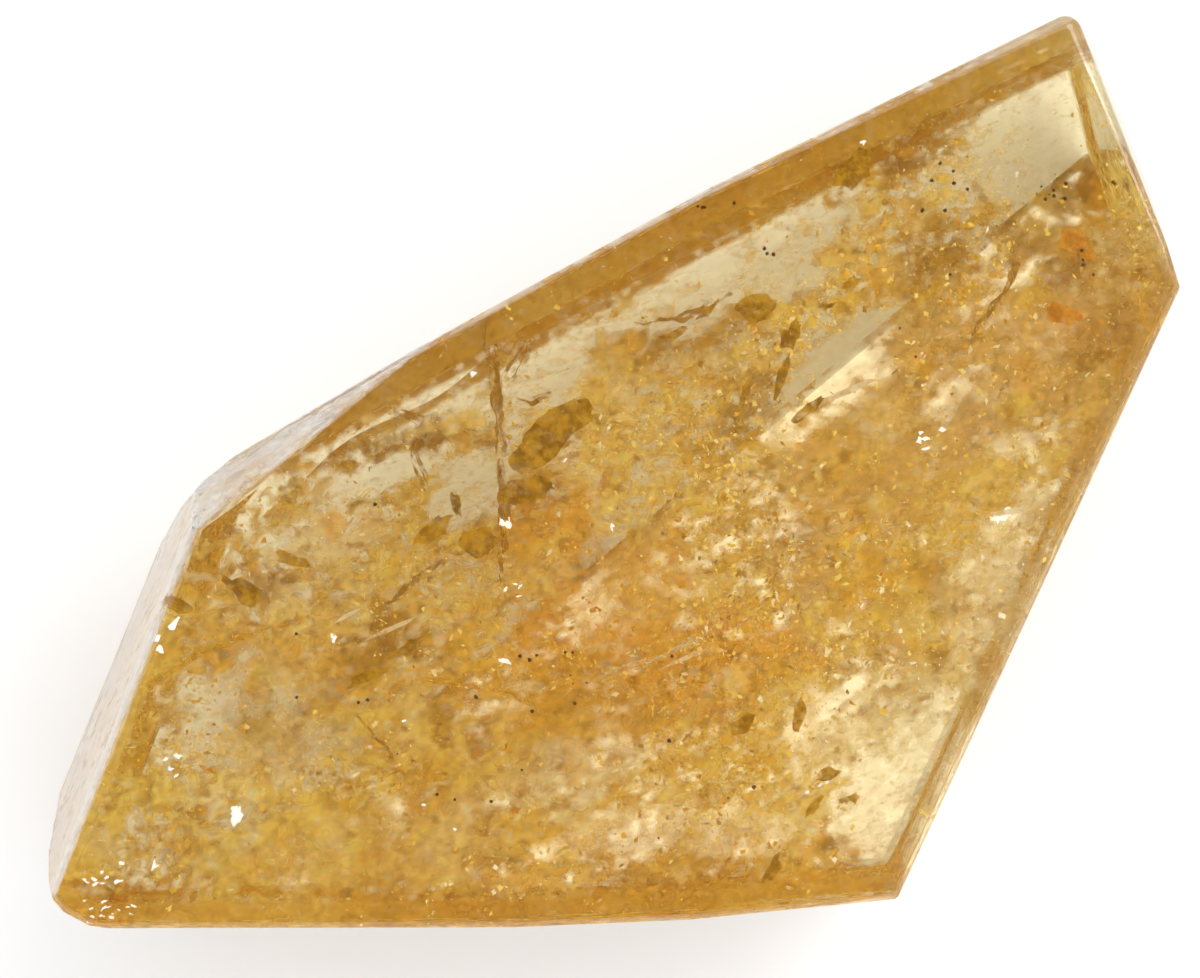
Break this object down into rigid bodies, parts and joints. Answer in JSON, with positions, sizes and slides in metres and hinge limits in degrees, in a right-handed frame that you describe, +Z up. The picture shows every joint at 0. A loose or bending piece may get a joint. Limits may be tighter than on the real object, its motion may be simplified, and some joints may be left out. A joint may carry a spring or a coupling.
{
  "type": "citrine crystal point",
  "caption": "Cut and polished citrine point, a leaning kite of flat facets with rounded edges, lying on its back facet, front facet up.",
  "frame": {"origin": "on the resting plane, under the middle of the outline", "axes": "+X along the stone towards its tip, +Y across it towards the long upper edge, +Z up, out of the front facet"},
  "size_m": [0.0676, 0.0542, 0.0233],
  "materials": {
    "citrine": "polished"
  },
  "bodies": {
    "root": {"crystal_point": "citrine"}
  },
  "joints": []
}
